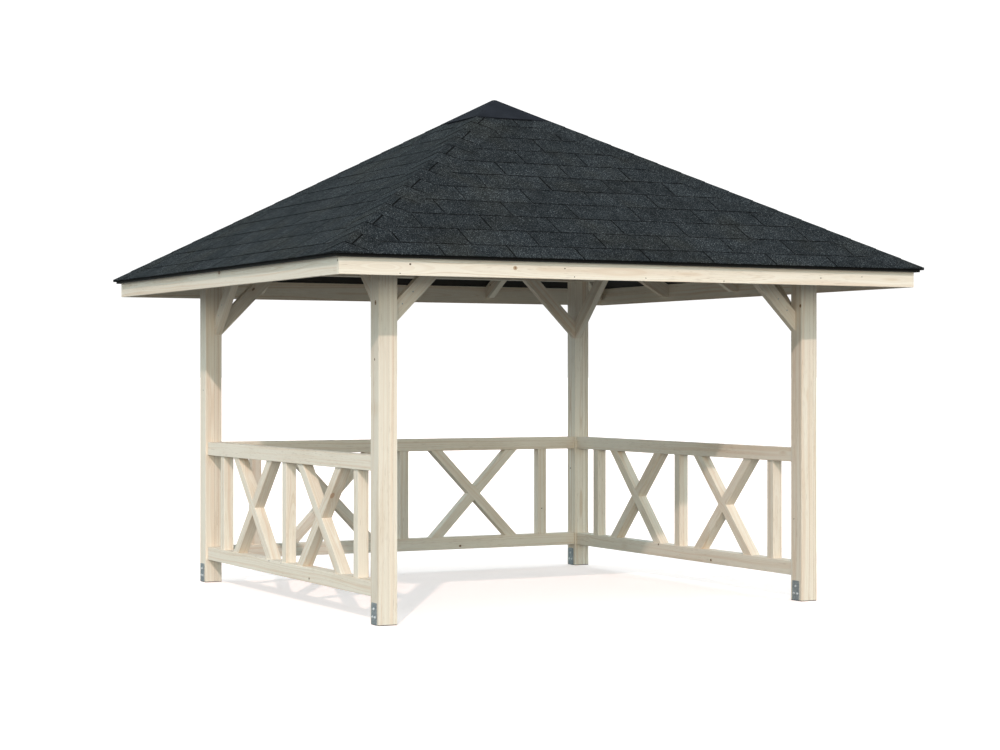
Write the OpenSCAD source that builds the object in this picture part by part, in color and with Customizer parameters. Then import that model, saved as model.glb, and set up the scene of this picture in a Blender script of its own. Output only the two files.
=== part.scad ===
// Open garden gazebo with a square plan and a pyramid roof.
// Origin: on the ground at the centre of the plan. +Z up, entrance towards -Y.

/* [Plan] */
// Outside width of the post frame, the same both ways
plan_w = 3000; // [2400:10:3600]
// Height from the ground to the underside of the wall plates
clear_h = 2109; // [1900:1:2600]

/* [Posts] */
// Side of the square posts
post_w = 116; // [90:1:150]
// Thickness of the steel of the post shoes
shoe_t = 5; // [3:0.5:8]
// Width of the shoe's base and of its two straps
shoe_w = 70; // [50:1:90]
// Height of the shoe's straps above its base
strap_h = 122; // [80:1:200]

/* [Wall plates and braces] */
// Height of the wall plates
plate_h = 110; // [80:1:160]
// Width of the wall plates, their inner faces flush with the posts
plate_w = 116; // [80:1:150]
// Width of the brace boards
brace_w = 88; // [60:1:120]
// Thickness of the brace boards
brace_t = 48; // [30:1:70]
// How far a brace's lower edge reaches down the post and along the plate
brace_reach = 421; // [300:1:600]

/* [Railing] */
// Height of the rails
rail_h = 88; // [60:1:110]
// Width of the rails, centred on the posts
rail_w = 88; // [60:1:110]
// Height from the ground to the underside of the bottom rail
rail_lift = 155; // [60:1:250]
// Height from the ground to the top of the top rail
rail_top = 956; // [800:1:1150]
// Side of the square uprights
baluster_w = 68; // [45:1:80]
// Clear gap between a post and the upright next to it
baluster_gap = 230; // [150:1:300]
// Side of the square bars of the crosses
cross_w = 68; // [45:1:80]
// Slope of the cross bars from the level
cross_angle = 46; // [40:0.5:60]

/* [Roof frame] */
// Slope of the roof faces from the level
pitch = 30.2; // [24:0.1:36]
// Distance from the posts' outer faces to the outer faces of the fascias
overhang = 424; // [300:1:550]
// Thickness of the rafters
rafter_t = 45; // [35:1:60]
// Depth of the rafters, square to their slope
rafter_h = 100; // [80:1:140]
// Depth of the hip rafters, measured upright
hip_h = 125; // [100:1:180]
// Depth of the seat that the plates' outer edges cut into the rafters
seat_cut = 25; // [10:1:40]
// Height of the rafters' level tail cut above the fascias' lower edges
tail_rise = 40; // [20:1:60]
// Distance of the short rafters from the middle of their face
jack_x = 922; // [700:1:1050]
// Width across the flats of the eight-sided block at the top
king_w = 140; // [120:1:200]
// Height of the block at the top
king_h = 180; // [150:1:260]
// Thickness of the fascia boards
fascia_t = 28; // [18:1:45]
// Height of the fascia boards' outer faces
fascia_h = 109; // [90:1:160]

/* [Roof cover] */
// Thickness of the roof boards, square to the slope
deck_t = 20; // [15:1:30]
// How far the roof boards run past the fascias
deck_out = 27; // [10:1:40]
// Thickness of the shingle layers, square to the slope
cover_t = 10; // [5:1:15]
// How far the shingles run past the roof boards
cover_out = 18; // [5:1:30]
// Half width of the smooth cap at the top, seen from above
cap_r = 270; // [150:1:420]
// Thickness of the smooth cap, square to the slope
cap_t = 6; // [3:0.5:12]

/* [Hidden] */
SIDES = ["front", "right", "back", "left"];
RAILED = ["right", "back", "left"];
RAIL_PARTS = ["top_rail", "bottom_rail", "balusters", "crossbars_rising", "crossbars_falling"];
ROOF_PARTS = ["fascia", "deck", "shingles"];
CORNERS = ["front_left", "front_right", "back_right", "back_left"];

timber = [0.88, 0.82, 0.70];
shaded_timber = [0.72, 0.68, 0.58];
dark_boards = [0.20, 0.17, 0.14];
felt = [0.20, 0.22, 0.24];
felt_cap = [0.17, 0.18, 0.22];
zinc = [0.62, 0.64, 0.66];

half = plan_w / 2;              // posts' outer faces
inner = half - post_w;          // posts' inner faces
post_c = half - post_w / 2;     // posts' middles
plate_c = inner + plate_w / 2;  // wall plates' middles
plate_top = clear_h + plate_h;

slope = tan(pitch);
fascia_r = half + overhang;            // fascias' outer faces
fascia_in = fascia_r - fascia_t;       // fascias' inner faces
deck_r = fascia_r + deck_out;          // edge of the roof boards
cover_r = deck_r + cover_out;          // edge of the shingles
rafter_v = rafter_h / cos(pitch);      // depth of a rafter, measured upright
deck_v = deck_t / cos(pitch);
cover_v = cover_t / cos(pitch);
cap_v = cap_t / cos(pitch);
// Height of the planes under the roof boards where they would meet at the top
under_apex = plate_top - seat_cut + rafter_v + (inner + plate_w) * slope;
fascia_z = under_apex - fascia_r * slope - fascia_h;
tail_z = fascia_z + tail_rise;

// Height of the roof boards' underside at a distance r from the middle
function under_z(r) = under_apex - r * slope;
// Distance from the middle where a line under the roof comes down to a height
function reach_r(z, drop) = (under_apex - drop - z) / slope;

panel_l = 2 * inner;                        // length between two posts
infill_low = rail_lift + rail_h;            // top of a bottom rail
infill_high = rail_top - rail_h;            // underside of a top rail
infill_h = infill_high - infill_low;
baluster_x = inner - baluster_gap - baluster_w / 2;
cross_x = baluster_x / 2;                   // middle of a cross
cross_s = infill_h / 2 / tan(cross_angle);  // half span of a cross bar
cross_k = cross_w / 2 / sin(cross_angle);   // half width of a bar's level cut

// Turns a piece made for the front side to another side
module to_side(side) {
    rotate([0, 0, 90 * search([side], SIDES)[0]]) children();
}

// A level square bar or beam along X, its middle at y and its underside at z
module level_bar(length, y, width, z, height) {
    translate([-length / 2, y - width / 2, z]) cube([length, width, height]);
}

// An outline in X and Z, made solid from the front face at y back to y + depth
module upright_plate(points, y, depth) {
    translate([0, y + depth, 0]) rotate([90, 0, 0])
        linear_extrude(height = depth) polygon(points);
}

// An outline in outward distance and Z, made solid about the line x on the front side
module slope_plate(points, x, width) {
    translate([x + width / 2, 0, 0]) rotate([90, 0, -90])
        linear_extrude(height = width) polygon(points);
}

// The part of the plan that belongs to the front face, moved out from the hips by back
module face_wedge(back) {
    far = 2 * cover_r;
    linear_extrude(height = 2 * under_apex)
        polygon([[0, -back], [far, -far - back], [-far, -far - back]]);
}

// Everything below a pyramid that lies lift above the roof boards' underside
module below_roof(lift) {
    far = 2 * cover_r;
    outline = [[-far, 0], [far, 0], [far, under_z(far) + lift], [0, under_apex + lift],
               [-far, under_z(far) + lift]];
    intersection() {
        upright_plate(outline, -far, 2 * far);
        rotate([0, 0, 90]) upright_plate(outline, -far, 2 * far);
    }
}

module post(sx, sy) {
    color(timber)
        translate([sx * post_c - post_w / 2, sy * post_c - post_w / 2, shoe_t])
            cube([post_w, post_w, clear_h - shoe_t]);
}

// A U of flat steel: a base under the post and a strap up each of two faces
module post_shoe() {
    out_w = post_w + 2 * shoe_t;
    difference() {
        translate([-out_w / 2, -shoe_w / 2, 0]) cube([out_w, shoe_w, shoe_t + strap_h]);
        translate([-post_w / 2, -shoe_w, shoe_t]) cube([post_w, 2 * shoe_w, 2 * strap_h]);
    }
}

module post_shoes() {
    color(zinc)
        for (sx = [-1, 1], sy = [-1, 1])
            translate([sx * post_c, sy * post_c, 0]) post_shoe();
}

// The front and back plates run through and the side plates butt between them
module wall_plate(side) {
    through = side == "front" || side == "back";
    length = through ? 2 * (inner + plate_w) : 2 * inner;
    color(timber) to_side(side) level_bar(length, -plate_c, plate_w, clear_h, plate_h);
}

module brace(dir) {
    cut = brace_w * sqrt(2);
    foot = clear_h - brace_reach;
    outline = [[dir * inner, foot], [dir * (inner - brace_reach), clear_h],
               [dir * (inner - brace_reach + cut), clear_h], [dir * inner, foot + cut]];
    upright_plate(outline, -inner - brace_t, brace_t);
}

module braces(side) {
    color(timber) to_side(side) {
        brace(-1);
        brace(1);
    }
}

module top_rail() {
    level_bar(panel_l, -post_c, rail_w, infill_high, rail_h);
}

module bottom_rail() {
    level_bar(panel_l, -post_c, rail_w, rail_lift, rail_h);
}

module balusters() {
    for (x = [-baluster_x, 0, baluster_x])
        translate([x, 0, 0]) level_bar(baluster_w, -post_c, baluster_w, infill_low, infill_h);
}

// One bar between the rails, rising towards +X or -X, its faces dir either way
module cross_bar(dir, y, depth) {
    outline = [[dir * (-cross_s - cross_k), infill_low], [dir * (-cross_s + cross_k), infill_low],
               [dir * (cross_s + cross_k), infill_high], [dir * (cross_s - cross_k), infill_high]];
    upright_plate(outline, y, depth);
}

// A full bar with half its thickness cut away where the other bar crosses it
module lapped_bar(dir) {
    y = -post_c - cross_w / 2;
    lap_y = dir > 0 ? y : y + cross_w / 2;
    difference() {
        cross_bar(dir, y, cross_w);
        cross_bar(-dir, lap_y, cross_w / 2);
    }
}

module crossbars(dir) {
    for (x = [-cross_x, cross_x]) translate([x, 0, 0]) lapped_bar(dir);
}

module rail_part(side, part) {
    color(shaded_timber) to_side(side) {
        if (part == "top_rail") top_rail();
        if (part == "bottom_rail") bottom_rail();
        if (part == "balusters") balusters();
        if (part == "crossbars_rising") crossbars(1);
        if (part == "crossbars_falling") crossbars(-1);
    }
}

// The space that the four wall plates fill
module plate_ring() {
    for (side = SIDES)
        to_side(side) level_bar(2 * (inner + plate_w), -plate_c, plate_w, 0, plate_top);
}

// A rafter of the front face from the distance r0 out to its fascia
module rafter(x, r0) {
    outline = [[r0, under_z(r0)], [fascia_in, under_z(fascia_in)], [fascia_in, tail_z],
               [reach_r(tail_z, rafter_v), tail_z], [r0, under_z(r0) - rafter_v]];
    slope_plate(outline, x, rafter_t);
}

module common_rafters() {
    color(shaded_timber) difference() {
        for (side = SIDES) to_side(side) rafter(0, king_w / 2);
        plate_ring();
    }
}

module jack_rafters() {
    color(shaded_timber) difference() {
        for (side = SIDES) to_side(side) intersection() {
            for (dir = [-1, 1]) rafter(dir * jack_x, jack_x - rafter_t);
            face_wedge(rafter_t / sqrt(2));
        }
        plate_ring();
    }
}

// A rafter under a hip, its top backed to both roof faces and its tail cut to both fascias
module hip_rafter() {
    fall = slope / sqrt(2);
    far = fascia_in * sqrt(2);
    near = king_w / 2;
    tail = (under_apex - hip_h - tail_z) / fall;
    outline = [[near, under_apex], [far, under_apex], [far, tail_z], [tail, tail_z],
               [near, under_apex - near * fall - hip_h]];
    intersection() {
        rotate([0, 0, 45]) slope_plate(outline, 0, rafter_t);
        below_roof(0);
        level_bar(2 * fascia_in, 0, 2 * fascia_in, 0, under_apex);
    }
}

module hip_rafters() {
    color(shaded_timber) difference() {
        for (side = SIDES) to_side(side) hip_rafter();
        plate_ring();
    }
}

// An eight-sided block that all the long rafters meet
module king_block() {
    across_corners = king_w / cos(22.5);
    top = under_z(king_w / 2);
    color(shaded_timber) translate([0, 0, top - king_h]) rotate([0, 0, 22.5])
        cylinder(h = king_h, d = across_corners, $fn = 8);
}

// The front and back boards run through and the side boards butt between them
module fascia(side) {
    through = side == "front" || side == "back";
    length = through ? 2 * fascia_r : 2 * fascia_in;
    mid = (fascia_r + fascia_in) / 2;
    color(timber) intersection() {
        to_side(side) level_bar(length, -mid, fascia_t, fascia_z, 2 * fascia_h);
        below_roof(0);
    }
}

// A sheet on one roof face, from a lift above the boards' underside up to lift + thick
module roof_sheet(lift, thick, edge) {
    outline = [[0, under_apex + lift], [edge, under_z(edge) + lift],
               [edge, under_z(edge) + lift + thick], [0, under_apex + lift + thick]];
    intersection() {
        slope_plate(outline, 0, 2 * edge);
        face_wedge(0);
    }
}

module roof_part(side, part) {
    if (part == "fascia") fascia(side);
    if (part == "deck") color(dark_boards) to_side(side) roof_sheet(0, deck_v, deck_r);
    if (part == "shingles") color(felt) to_side(side) roof_sheet(deck_v, cover_v, cover_r);
}

// A small folded pyramid of smooth felt over the tops of all four faces
module apex_cap() {
    lift = deck_v + cover_v;
    color(felt_cap) difference() {
        intersection() {
            below_roof(lift + cap_v);
            level_bar(2 * cap_r, 0, 2 * cap_r, 0, 2 * under_apex);
        }
        below_roof(lift);
    }
}

post(-1, -1);  // front_left_post
post(1, -1);  // front_right_post
post(1, 1);  // back_right_post
post(-1, 1);  // back_left_post
post_shoes();
for (side = SIDES) {
    wall_plate(side);
    braces(side);
    for (part = ROOF_PARTS)
        roof_part(side, part);
}
for (side = RAILED, part = RAIL_PARTS)
    rail_part(side, part);
common_rafters();
jack_rafters();
hip_rafters();
king_block();
apex_cap();
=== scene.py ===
"""The looks of an open garden gazebo: spruce frame, crossed railings and a felt-shingled pyramid roof.

Every size that the frame holds is read off its nodes. All pieces are in metres, in the frame's own
coordinates, with the open entrance at the front, towards -Y.
"""

import logging
import math
import random
from collections.abc import Iterable, Sequence
from dataclasses import dataclass
from enum import Enum

import bmesh
import bpy
from mathutils import Matrix, Vector


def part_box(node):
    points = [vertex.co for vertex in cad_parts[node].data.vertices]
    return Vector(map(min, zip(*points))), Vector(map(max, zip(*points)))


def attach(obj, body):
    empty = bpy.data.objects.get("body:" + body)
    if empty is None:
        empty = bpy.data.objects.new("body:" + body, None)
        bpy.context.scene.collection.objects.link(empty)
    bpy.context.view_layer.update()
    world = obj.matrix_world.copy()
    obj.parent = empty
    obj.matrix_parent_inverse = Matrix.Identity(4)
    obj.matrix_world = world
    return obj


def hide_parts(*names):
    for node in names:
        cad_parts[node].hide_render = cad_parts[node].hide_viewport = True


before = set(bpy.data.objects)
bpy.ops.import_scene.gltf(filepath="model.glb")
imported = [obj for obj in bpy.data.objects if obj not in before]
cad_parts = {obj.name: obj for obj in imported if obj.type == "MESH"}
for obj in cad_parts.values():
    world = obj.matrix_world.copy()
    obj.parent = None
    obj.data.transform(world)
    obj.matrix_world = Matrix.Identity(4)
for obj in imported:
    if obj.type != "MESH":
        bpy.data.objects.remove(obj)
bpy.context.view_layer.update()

LOG = logging.getLogger("gazebo")

Triple = tuple[float, float, float]
Colour = Triple
Plane = tuple[Vector, Vector]
Socket = bpy.types.NodeSocket

X = Vector((1.0, 0.0, 0.0))
Y = Vector((0.0, 1.0, 0.0))
Z = Vector((0.0, 0.0, 1.0))
ORIGIN = Vector((0.0, 0.0, 0.0))

WHITE = (1.0, 1.0, 1.0)
GRAIN = "grain"
TONE = "tone"
MM = 0.001
SPARE = 0.02  # how far a board is left long before it is sawn to its plane


class Place(Enum):
    """A named place on the gazebo."""

    @property
    def label(self) -> str:
        """The place's name in the frame."""
        return self.name.lower()


class Side(Place):
    """A side of the gazebo. The value is its number of quarter turns from the front."""

    FRONT = 0
    RIGHT = 1
    BACK = 2
    LEFT = 3

    @property
    def turn(self) -> Matrix:
        """The turn that takes the front side to this one."""
        return Matrix.Rotation(math.radians(90.0 * self.value), 4, "Z")

    @property
    def runs_through(self) -> bool:
        """Whether this side's plate and fascia cover the ends of their neighbours."""
        return self in (Side.FRONT, Side.BACK)


RAILED_SIDES = (Side.RIGHT, Side.BACK, Side.LEFT)


class Corner(Place):
    """A corner of the gazebo. The value is the way to it along X and Y."""

    FRONT_LEFT = (-1, -1)
    FRONT_RIGHT = (1, -1)
    BACK_RIGHT = (1, 1)
    BACK_LEFT = (-1, 1)


class Slot(Enum):
    """The record's material slots."""

    TIMBER = "timber"
    ROOF_TIMBER = "roof_timber"
    ROOF_BOARDS = "roof_boards"
    SHINGLES = "felt_shingles"
    SMOOTH_FELT = "smooth_felt"
    ZINC = "zinc_steel"


# --------------------------------------------------------------------------- finishes


class Graph:
    """The node tree of one material, built up socket by socket."""

    def __init__(self, name: str) -> None:
        """Starts an empty tree with one principled shader.

        Args:
            name: the material's name.
        """
        self.material = bpy.data.materials.new(name)
        self.material.use_nodes = True
        self.tree = self.material.node_tree
        self.tree.nodes.clear()
        self.shader = self.add("ShaderNodeBsdfPrincipled")
        self.add("ShaderNodeOutputMaterial", {"Surface": self.shader.outputs["BSDF"]})

    def add(self, kind: str, inputs: dict[str | int, object] | None = None, **settings: object) -> bpy.types.Node:
        """Adds a node.

        Args:
            kind: the node's type.
            inputs: what its inputs are fed with, by name or number.
            settings: its properties.

        Returns:
            The new node.
        """
        node = self.tree.nodes.new(kind)
        for key, value in settings.items():
            setattr(node, key, value)
        for key, value in (inputs or {}).items():
            self.feed(node.inputs[key], value)
        return node

    def feed(self, socket: Socket, value: object) -> None:
        """Links a socket, or sets the number or colour that it holds.

        Args:
            socket: the input to feed.
            value: another socket, a number, or a colour or vector.
        """
        if isinstance(value, Socket):
            self.tree.links.new(value, socket)
        elif isinstance(value, tuple) and socket.type == "RGBA":
            socket.default_value = (*value, 1.0)
        else:
            socket.default_value = value

    def grain(self) -> Socket:
        """A board's own coordinates: along, across and through it, in metres."""
        return self.add("ShaderNodeAttribute", attribute_name=GRAIN).outputs["Vector"]

    def tone(self) -> Socket:
        """How much lighter or darker a board is than the others."""
        return self.add("ShaderNodeAttribute", attribute_name=TONE).outputs["Fac"]

    def place(self) -> Socket:
        """The point on the object, in metres."""
        return self.add("ShaderNodeTexCoord").outputs["Object"]

    def math(self, operation: str, *values: object) -> Socket:
        """Works out one number from others."""
        return self.add("ShaderNodeMath", dict(enumerate(values)), operation=operation).outputs["Value"]

    def times(self, first: object, second: object) -> Socket:
        """Multiplies two numbers."""
        return self.math("MULTIPLY", first, second)

    def line(self, value: object, slope: object, start: object) -> Socket:
        """Multiplies a number by a slope and adds a start to it."""
        return self.math("MULTIPLY_ADD", value, slope, start)

    def vector(self, operation: str, *values: object) -> Socket:
        """Works out one vector, or the length of one."""
        node = self.add("ShaderNodeVectorMath", dict(enumerate(values)), operation=operation)
        return node.outputs["Value" if operation == "LENGTH" else "Vector"]

    def split(self, vector: Socket) -> tuple[Socket, Socket, Socket]:
        """Takes a vector apart."""
        node = self.add("ShaderNodeSeparateXYZ", {0: vector})
        return node.outputs[0], node.outputs[1], node.outputs[2]

    def join(self, *parts: object) -> Socket:
        """Puts a vector together."""
        return self.add("ShaderNodeCombineXYZ", dict(enumerate(parts))).outputs[0]

    def noise(self, where: Socket, scale: float, detail: float = 2.0, rough: float = 0.5) -> Socket:
        """A cloudy pattern, with so many clouds to a unit of length and so many finer, rougher layers."""
        inputs = {"Vector": where, "Scale": scale, "Detail": detail, "Roughness": rough}
        return self.add("ShaderNodeTexNoise", inputs).outputs["Fac"]

    def stretched(self, where: Socket, scales: Triple, detail: float = 2.0, rough: float = 0.5) -> Socket:
        """A cloudy pattern with a scale of its own for each direction."""
        return self.noise(self.vector("MULTIPLY", where, scales), 1.0, detail, rough)

    def cells(self, where: Socket, scale: float) -> bpy.types.Node:
        """Adds a pattern of random cells: the distance to the nearest point and its random colour."""
        return self.add("ShaderNodeTexVoronoi", {"Vector": where, "Scale": scale})

    def remap(self, value: Socket, low: float, high: float, out_low: float = 0.0, out_high: float = 1.0) -> Socket:
        """Stretches a range of values smoothly onto another, clamped at its ends."""
        inputs = dict(enumerate((value, low, high, out_low, out_high)))
        return self.add("ShaderNodeMapRange", inputs, interpolation_type="SMOOTHSTEP").outputs["Result"]

    def blend(self, amount: object, first: object, second: object) -> Socket:
        """Lays an amount of the second colour over the first."""
        return self.add("ShaderNodeMix", {0: amount, 6: first, 7: second}, data_type="RGBA").outputs[2]

    def grade(self, colour: Socket, factor: object) -> Socket:
        """Makes a colour lighter or darker by a factor."""
        return self.vector("MULTIPLY", colour, self.join(factor, factor, factor))

    def finish(
        self, colour: Socket, roughness: object, height: Socket, depth: float, specular: float, metallic: float = 0.0
    ) -> bpy.types.Material:
        """Connects the shader.

        Args:
            colour: the base colour.
            roughness: how matt it is.
            height: the relief, from 0 to 1.
            depth: the relief's full depth in metres.
            specular: how strongly it shines.
            metallic: 1 for bare metal.

        Returns:
            The finished material.
        """
        bump = self.add("ShaderNodeBump", {"Height": height, "Distance": depth, "Strength": 1.0})
        self.feed(self.shader.inputs["Base Color"], colour)
        self.feed(self.shader.inputs["Roughness"], roughness)
        self.feed(self.shader.inputs["Normal"], bump.outputs["Normal"])
        self.shader.inputs["Specular IOR Level"].default_value = specular
        self.shader.inputs["Metallic"].default_value = metallic
        return self.material


@dataclass(frozen=True)
class Timber:
    """Planed softwood with growth rings about its pith, broad streaks, a few knots and fine fibres.

    Scales are cells or clouds to a metre, along, across and through a board.
    """

    name: str
    pale: Colour = (0.74, 0.67, 0.575)
    ring: Colour = (0.52, 0.37, 0.24)
    streak: Colour = (0.66, 0.52, 0.40)
    knot: Colour = (0.23, 0.12, 0.06)
    ring_pitch: float = 4.4 * MM
    ring_wander: Triple = (0.9, 3.5, 3.5)
    wander: float = 50.0 * MM
    bulge: float = 11.0 * MM
    knot_grid: Triple = (4.0, 7.5, 2.2)
    knot_reach: tuple[float, float] = (0.030, 0.055)
    knot_share: float = 0.16
    knot_size: float = 1.0
    band_scale: float = 62.0
    thread_scale: float = 230.0
    cloud_scale: Triple = (1.3, 9.0, 9.0)
    tick_scale: Triple = (16.0, 300.0, 300.0)
    fibre_scale: Triple = (14.0, 620.0, 620.0)
    streaks: float = 0.65
    ticks: float = 0.35
    roughness: float = 0.62
    relief: float = 0.25 * MM
    specular: float = 0.3

    def make(self) -> bpy.types.Material:
        """Builds the material.

        Returns:
            The material.
        """
        g = Graph(self.name)
        grain = g.grain()
        along, across, through = g.split(grain)

        grid = [g.times(part, scale) for part, scale in zip((along, across, through), self.knot_grid)]
        spots = g.cells(g.join(*grid), 1.0)
        chance, size, _ = g.split(spots.outputs["Color"])
        kept = g.math("LESS_THAN", chance, self.knot_share)
        least, more = (self.knot_size * reach for reach in self.knot_reach)
        near = g.math("DIVIDE", spots.outputs["Distance"], g.line(size, more, least))
        knot = g.times(g.remap(near, 1.15, 0.85), kept)
        swerve = g.times(g.remap(near, 4.5, 0.6), kept)

        wander = g.line(g.stretched(grain, self.ring_wander), self.wander, -self.wander / 2.0)
        radius = g.math("SQRT", g.math("ADD", g.math("POWER", across, 2.0), g.math("POWER", through, 2.0)))
        radius = g.line(swerve, self.bulge, g.math("ADD", radius, wander))

        turn = g.math("FRACT", g.math("DIVIDE", radius, self.ring_pitch))
        late = g.times(g.remap(turn, 0.25, 0.9), g.remap(turn, 1.0, 0.93))
        bands = g.noise(g.join(g.times(along, 0.35), g.times(radius, self.band_scale), 0.0), 1.0, 3.0, 0.6)
        broad = g.remap(bands, 0.46, 0.66)
        threads = g.noise(g.join(g.times(along, 0.2), g.times(radius, self.thread_scale), 3.0), 1.0, 2.0, 0.6)
        thread = g.remap(threads, 0.58, 0.72)
        cloud = g.stretched(grain, self.cloud_scale)
        ticks = g.stretched(grain, self.tick_scale, 1.0)
        tick = g.times(g.remap(ticks, 0.60, 0.74), g.remap(cloud, 0.35, 0.6))
        fibre = g.stretched(grain, self.fibre_scale, 2.0, 0.6)

        colour = g.blend(g.times(late, g.line(broad, 0.3, 0.16)), self.pale, self.ring)
        colour = g.blend(g.times(broad, self.streaks), colour, self.streak)
        colour = g.blend(g.times(thread, 0.55), colour, self.ring)
        colour = g.blend(g.times(tick, self.ticks), colour, self.knot)
        colour = g.blend(g.remap(cloud, 0.5, 0.8, 0.0, 0.25), colour, self.ring)
        colour = g.blend(g.times(swerve, 0.3), colour, self.ring)
        colour = g.blend(g.times(knot, 0.85), colour, self.knot)
        colour = g.grade(colour, g.math("ADD", g.line(fibre, 0.12, 0.94), g.tone()))

        rough = g.line(fibre, 0.14, self.roughness - 0.07)
        height = g.math("ADD", g.times(late, 0.45), g.times(fibre, 0.55))
        return g.finish(colour, rough, height, self.relief, self.specular)


@dataclass(frozen=True)
class Felt:
    """Bitumen felt dressed with crushed slate: speckled granules, soft patches and a tone for each tab."""

    name: str
    base: Colour = (0.0104, 0.0123, 0.0144)
    bright: Colour = (0.156, 0.164, 0.170)
    warm: Colour = (0.0155, 0.0155, 0.0135)
    speckle: float = 1.0
    granule: float = 3.6 * MM
    clump_scale: float = 165.0
    patch_scale: float = 9.0
    hue_scale: float = 3.1
    roughness: float = 0.85
    specular: float = 0.02

    def make(self) -> bpy.types.Material:
        """Builds the material.

        Returns:
            The material.
        """
        g = Graph(self.name)
        here = g.place()
        one, two, three = g.split(g.cells(here, 1.0 / self.granule).outputs["Color"])
        coarse = g.noise(here, self.clump_scale, 3.0, 0.8)
        patch = g.noise(here, self.patch_scale, 3.0, 0.6)
        hue = g.noise(here, self.hue_scale)

        glint = g.times(g.remap(one, 0.80, 1.0), self.speckle)
        clump = g.times(g.remap(coarse, 0.55, 0.68), self.speckle)
        colour = g.blend(g.remap(hue, 0.45, 0.75, 0.0, 0.7), self.base, self.warm)
        colour = g.blend(g.times(glint, 0.55), colour, self.bright)
        colour = g.blend(g.times(clump, 0.42), colour, self.bright)
        light = g.times(g.line(patch, 1.1, 0.44), g.line(two, 0.5 * self.speckle, 1.0 - 0.25 * self.speckle))
        colour = g.grade(colour, g.math("ADD", light, g.tone()))

        height = g.math("ADD", g.times(three, 0.4), g.times(coarse, 0.6))
        return g.finish(colour, self.roughness, height, (1.1 * self.speckle + 0.1) * MM, self.specular)


@dataclass(frozen=True)
class Galvanised:
    """Hot-dipped steel with spangle and a dull, slightly stained zinc surface."""

    name: str
    light: Colour = (0.40, 0.43, 0.44)
    dark: Colour = (0.22, 0.245, 0.265)
    flake_scale: float = 230.0
    stain_scale: float = 26.0
    scratch_scale: Triple = (90.0, 90.0, 900.0)
    metallic: float = 0.5

    def make(self) -> bpy.types.Material:
        """Builds the material.

        Returns:
            The material.
        """
        g = Graph(self.name)
        here = g.place()
        flake, tilt, _ = g.split(g.cells(here, self.flake_scale).outputs["Color"])
        stain = g.noise(here, self.stain_scale, 3.0, 0.6)
        colour = g.grade(g.blend(flake, self.light, self.dark), g.line(stain, 0.5, 0.72))
        scratch = g.stretched(here, self.scratch_scale)
        return g.finish(colour, g.line(tilt, 0.2, 0.32), scratch, 0.08 * MM, 0.4, self.metallic)


@dataclass(frozen=True)
class Knot:
    """A dark knot: tight rings about its middle, cracked at the heart."""

    name: str
    heart: Colour = (0.035, 0.018, 0.010)
    rim: Colour = (0.32, 0.20, 0.115)
    crack_scale: float = 420.0
    ring_pitch: float = 1.6 * MM

    def make(self) -> bpy.types.Material:
        """Builds the material.

        Returns:
            The material.
        """
        g = Graph(self.name)
        grain = g.grain()
        crack = g.noise(grain, self.crack_scale, 3.0, 0.7)
        away = g.line(crack, 3.0 * MM, g.vector("LENGTH", grain))
        ring = g.math("FRACT", g.math("DIVIDE", away, self.ring_pitch))
        colour = g.blend(g.remap(away, 3.5 * MM, 9.0 * MM), self.heart, self.rim)
        colour = g.grade(colour, g.line(ring, 0.35, 0.75))
        return g.finish(colour, 0.6, crack, 0.3 * MM, 0.3)


class Palette:
    """The finished materials of the gazebo, each made once."""

    def __init__(self) -> None:
        """Makes all the finishes."""
        self.timber = Timber("spruce").make()
        self.knotty = Timber(
            "knotty_spruce",
            ring=(0.53, 0.38, 0.25),
            streak=(0.68, 0.55, 0.43),
            knot=(0.50, 0.31, 0.20),
            knot_share=0.55,
            knot_size=2.4,
            streaks=0.8,
        ).make()
        self.glue = Timber(
            "glue_seam", pale=(0.30, 0.17, 0.115), ring=(0.22, 0.12, 0.08), streak=(0.25, 0.14, 0.09), knot_share=0.0
        ).make()
        self.roof_timber = Timber("roof_spruce", roughness=0.7, knot_share=0.22).make()
        self.dark_boards = Timber(
            "stained_boards",
            pale=(0.0110, 0.0090, 0.0070),
            ring=(0.0060, 0.0045, 0.0032),
            streak=(0.0080, 0.0062, 0.0045),
            knot=(0.0030, 0.0022, 0.0018),
            roughness=0.7,
        ).make()
        # near-black felt under the shingles, on their butts and edges and in the hip caps' slots: partly the bitumen's
        # own colour, partly painted shade in the slots and under the lifted lower edges
        black = (0.003, 0.003, 0.003)
        self.shingles = Felt("slate_felt").make()
        self.underlay = Felt("underlay_felt", base=black, bright=(0.008, 0.008, 0.008), warm=black).make()
        self.smooth = Felt(
            "smooth_felt",
            base=(0.0150, 0.0160, 0.0210),
            bright=(0.03, 0.032, 0.037),
            warm=(0.016, 0.017, 0.020),
            speckle=0.3,
            granule=1.8 * MM,
        ).make()
        self.zinc = Galvanised("zinc_steel").make()
        # near-black steel for the plate under each post: painted shade, the dark line at the post's foot
        self.foot_plate = Galvanised("dark_foot_plate", light=(0.070, 0.072, 0.070), dark=(0.035, 0.036, 0.036)).make()
        self.screws = Galvanised("bright_screws", light=(0.80, 0.82, 0.83), dark=(0.58, 0.60, 0.62)).make()
        self.knot = Knot("dark_knot").make()
        self.tan_knot = Knot("tan_knot", heart=(0.20, 0.11, 0.06), rim=(0.50, 0.36, 0.24)).make()


# --------------------------------------------------------------------------- the frame's sizes


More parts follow.
